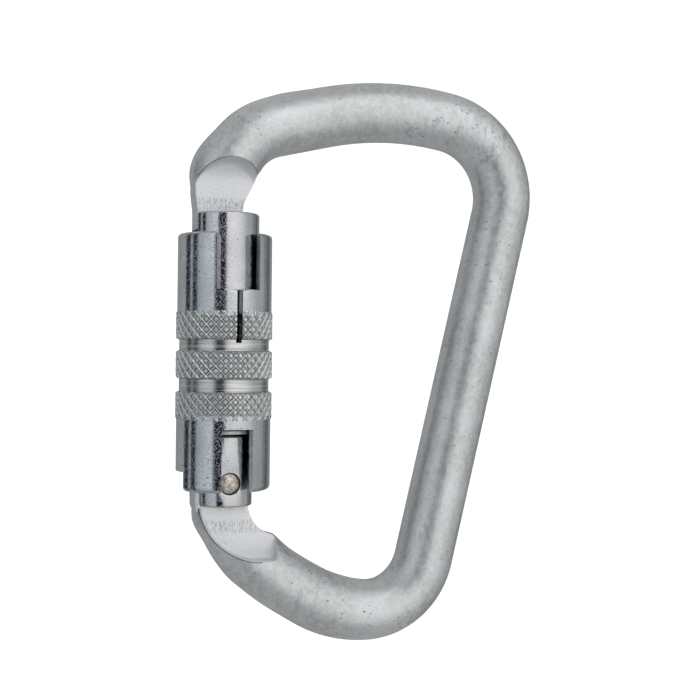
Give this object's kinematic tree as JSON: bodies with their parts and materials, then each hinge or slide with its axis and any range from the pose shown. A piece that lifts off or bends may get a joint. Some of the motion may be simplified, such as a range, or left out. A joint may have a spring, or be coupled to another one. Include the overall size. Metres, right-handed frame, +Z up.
{
  "type": "locking carabiner",
  "caption": "D-shaped steel connector with a hinged gate and a knurled auto-locking sleeve that lifts, twists and returns by springs.",
  "frame": {"origin": "the anchor seat: inner apex of the top bow, on the bar's mid-plane", "axes": "+Z up along the gate, +X from the gate to the spine, -Y towards the front, where the sleeve's notch is"},
  "size_m": [0.0751, 0.0186, 0.1133],
  "materials": {
    "body_steel": "satin galvanised",
    "barrel_steel": "bright plated",
    "sleeve_steel": "bright plated, knurled bands",
    "rivet_metal": "nickelled, domed end",
    "plunger_steel": "ground",
    "pin_steel": "ground",
    "seat_steel": "turned",
    "spring_steel": "drawn wire",
    "washer_steel": "zinc plated",
    "washer_polymer": "black polymer"
  },
  "bodies": {
    "body": {"frame": "body_steel"},
    "gate": {"gate_barrel": "barrel_steel", "hinge_rivet": "rivet_metal", "guide_pin": "pin_steel", "gate_spring": "spring_steel", "upper_washer": "washer_polymer", "sleeve_spring": "spring_steel"},
    "plunger": {"gate_plunger": "plunger_steel"},
    "lift": {"lift_washer": "washer_steel"},
    "sleeve": {"locking_sleeve": "sleeve_steel", "spring_seat": "seat_steel"}
  },
  "joints": [
    {"name": "gate_swing", "type": "hinge", "parent": "body", "child": "gate", "pos_m": [-0.0361, 0, -0.0684], "axis": [0, 1, 0], "range_deg": [0, 26], "stiffness_Nm_per_rad": 0.4, "springref_deg": -28.65},
    {"name": "plunger_slide", "type": "slide", "parent": "gate", "child": "plunger", "axis": [0, 0, 1], "range_m": [0, 0.0011], "deforming": ["gate_spring"]},
    {"name": "sleeve_lift", "type": "slide", "parent": "gate", "child": "lift", "axis": [0, 0, 1], "range_m": [0, 0.004], "stiffness_N_per_m": 500, "springref_m": -0.01, "deforming": ["sleeve_spring"]},
    {"name": "sleeve_twist", "type": "hinge", "parent": "lift", "child": "sleeve", "pos_m": [-0.0361, 0, -0.0684], "axis": [0, 0, -1], "range_deg": [0, 90], "stiffness_Nm_per_rad": 0.02, "springref_deg": -57.3}
  ],
  "couplings": [
    {"joint": "plunger_slide", "follows": "gate_swing", "m_per_rad": 0.0024}
  ]
}
